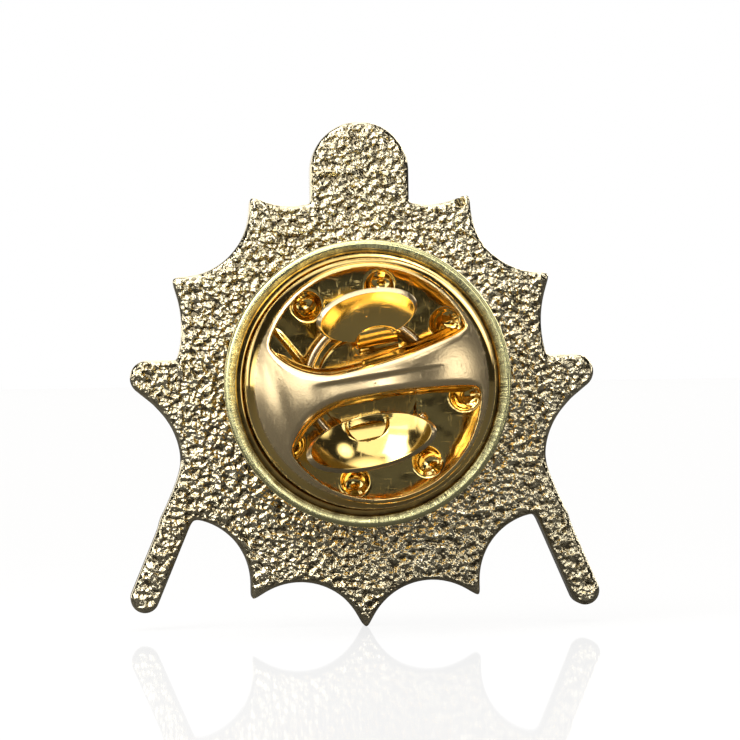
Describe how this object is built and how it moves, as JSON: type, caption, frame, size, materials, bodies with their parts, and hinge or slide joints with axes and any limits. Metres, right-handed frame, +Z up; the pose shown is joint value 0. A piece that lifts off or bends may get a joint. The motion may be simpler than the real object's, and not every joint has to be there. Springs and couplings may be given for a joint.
{
  "type": "lapel pin with butterfly clutch",
  "caption": "Sun-shaped metal lapel pin: a die-struck badge with a soldered post, held by a squeeze-to-release butterfly clutch that slides and turns on the post.",
  "frame": {"origin": "where the post's axis meets the badge's flat back face", "axes": "+Z up as worn, +X to the right seen from behind the badge, -Y out of the back along the post, +Y out of the front"},
  "size_m": [0.0192, 0.0094, 0.0205],
  "materials": {
    "badge_metal": "pale gold plate, pebbled on the back and polished on the front",
    "enamel_blue": "hard glossy enamel",
    "enamel_white": "hard glossy enamel",
    "post_metal": "drawn wire, gold plated",
    "solder": "solder under thin gold plate",
    "clutch_brass": "polished gold plate",
    "clutch_satin": "satin gold plate",
    "wing_brass": "polished gold plate with bare cut edges",
    "spring_wire": "bright phosphor bronze wire"
  },
  "bodies": {
    "badge": {"badge_plate": "badge_metal", "enamel_rays": "enamel_blue", "enamel_ring": "enamel_white", "enamel_head": "enamel_blue", "pin_post": "post_metal", "solder_fillet": "solder"},
    "spring_ring": {"grip_spring": "spring_wire"},
    "clutch": {"clutch_disc": "clutch_brass", "clutch_cap": "clutch_satin"},
    "wing_a": {"upper_wing": "wing_brass"},
    "wing_b": {"lower_wing": "wing_brass"}
  },
  "joints": [
    {"name": "clutch_pull", "type": "slide", "parent": "badge", "child": "spring_ring", "axis": [0, -1, 0], "range_m": [0, 0.007]},
    {"name": "clutch_spin", "type": "hinge", "parent": "spring_ring", "child": "clutch", "pos_m": [0, 0, 0], "axis": [0, -1, 0], "continuous": true},
    {"name": "upper_squeeze", "type": "hinge", "parent": "clutch", "child": "wing_a", "pos_m": [-0.00022, -0.0056, 0.00108], "axis": [0.9799, 0, 0.1994], "range_deg": [0, 6], "stiffness_Nm_per_rad": 0.01},
    {"name": "lower_squeeze", "type": "hinge", "parent": "clutch", "child": "wing_b", "pos_m": [0.00022, -0.0056, -0.00108], "axis": [-0.9799, 0, -0.1994], "range_deg": [0, 6], "stiffness_Nm_per_rad": 0.01}
  ]
}
